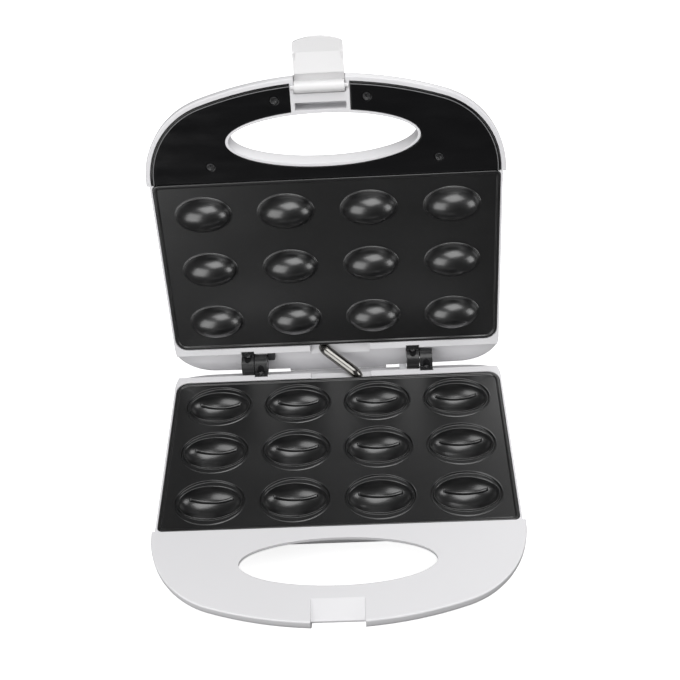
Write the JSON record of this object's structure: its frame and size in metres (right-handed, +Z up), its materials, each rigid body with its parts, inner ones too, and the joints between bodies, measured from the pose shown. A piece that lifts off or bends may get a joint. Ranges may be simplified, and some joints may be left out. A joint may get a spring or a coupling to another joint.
{
  "type": "walnut cookie maker",
  "caption": "Countertop walnut cookie maker: hinged lid, non-stick plates with walnut cups and domes, handle with finger opening, front latch.",
  "frame": {"origin": "on the worktop, under the middle of the opened cooker's bounding box", "axes": "+X to the user's right, +Y to the back, +Z up"},
  "size_m": [0.227, 0.2682, 0.2571],
  "materials": {
    "white_housing": "white moulded plastic, satin gloss",
    "black_cover": "glossy black plastic",
    "latch": "white moulded plastic, a shade greyer",
    "nonstick_plate": "charcoal non-stick coating on cast aluminium",
    "hinge": "black painted steel",
    "steel_pin": "plain steel",
    "screw_dark": "blackened steel",
    "screw_zinc": "zinc plated steel",
    "conduit": "silvery woven sleeve",
    "clip_dark": "dark moulded plastic",
    "clip_grey": "grey spring steel",
    "heater": "stainless steel tube",
    "shield": "bright sheet",
    "rubber_foot": "black rubber",
    "gland": "black nylon",
    "thermostat": "brown phenolic",
    "fuse": "plated metal",
    "terminal": "cream nylon",
    "lamp_red": "red lens",
    "lamp_green": "green lens",
    "holder": "black plastic"
  },
  "bodies": {
    "base": {"base_bottom_cover": "white_housing", "base_hinge_leaf_left": "hinge", "base_hinge_leaf_right": "hinge", "base_hinge_screws": "screw_dark", "base_housing": "white_housing", "base_plate_clip": "clip_grey", "bottom_cover_screws": "screw_zinc", "cord_gland": "gland", "foot_front_left": "rubber_foot", "foot_front_right": "rubber_foot", "foot_rear_left": "rubber_foot", "foot_rear_right": "rubber_foot", "hinge_pin_left": "steel_pin", "hinge_pin_right": "steel_pin", "link_conduit": "conduit", "lower_heater": "heater", "lower_plate": "nonstick_plate", "lower_plate_screws": "screw_zinc", "lower_reflector": "shield", "terminal_block": "terminal", "thermal_fuse": "fuse", "thermostat": "thermostat"},
    "lid": {"handle_cover_screws": "screw_dark", "handle_inner_cover": "black_cover", "lamp_holder": "holder", "latch_pin": "latch", "lid_hinge_leaf_left": "hinge", "lid_hinge_leaf_right": "hinge", "lid_hinge_screws": "screw_dark", "lid_housing": "white_housing", "lid_plate_clip": "clip_dark", "power_lamp": "lamp_red", "ready_lamp": "lamp_green", "upper_heater": "heater", "upper_plate": "nonstick_plate", "upper_plate_screws": "screw_zinc", "upper_reflector": "shield"},
    "latch": {"latch_clip": "latch"}
  },
  "joints": [
    {"name": "lid_hinge", "type": "hinge", "parent": "base", "child": "lid", "pos_m": [0, 0.06644, 0.042], "axis": [1, 0, 0], "range_deg": [0, 104.44], "deforming": ["link_conduit"]},
    {"name": "latch_hinge", "type": "hinge", "parent": "lid", "child": "latch", "pos_m": [0, 0.11653, 0.23011], "axis": [1, 0, 0], "range_deg": [0, 90]}
  ]
}
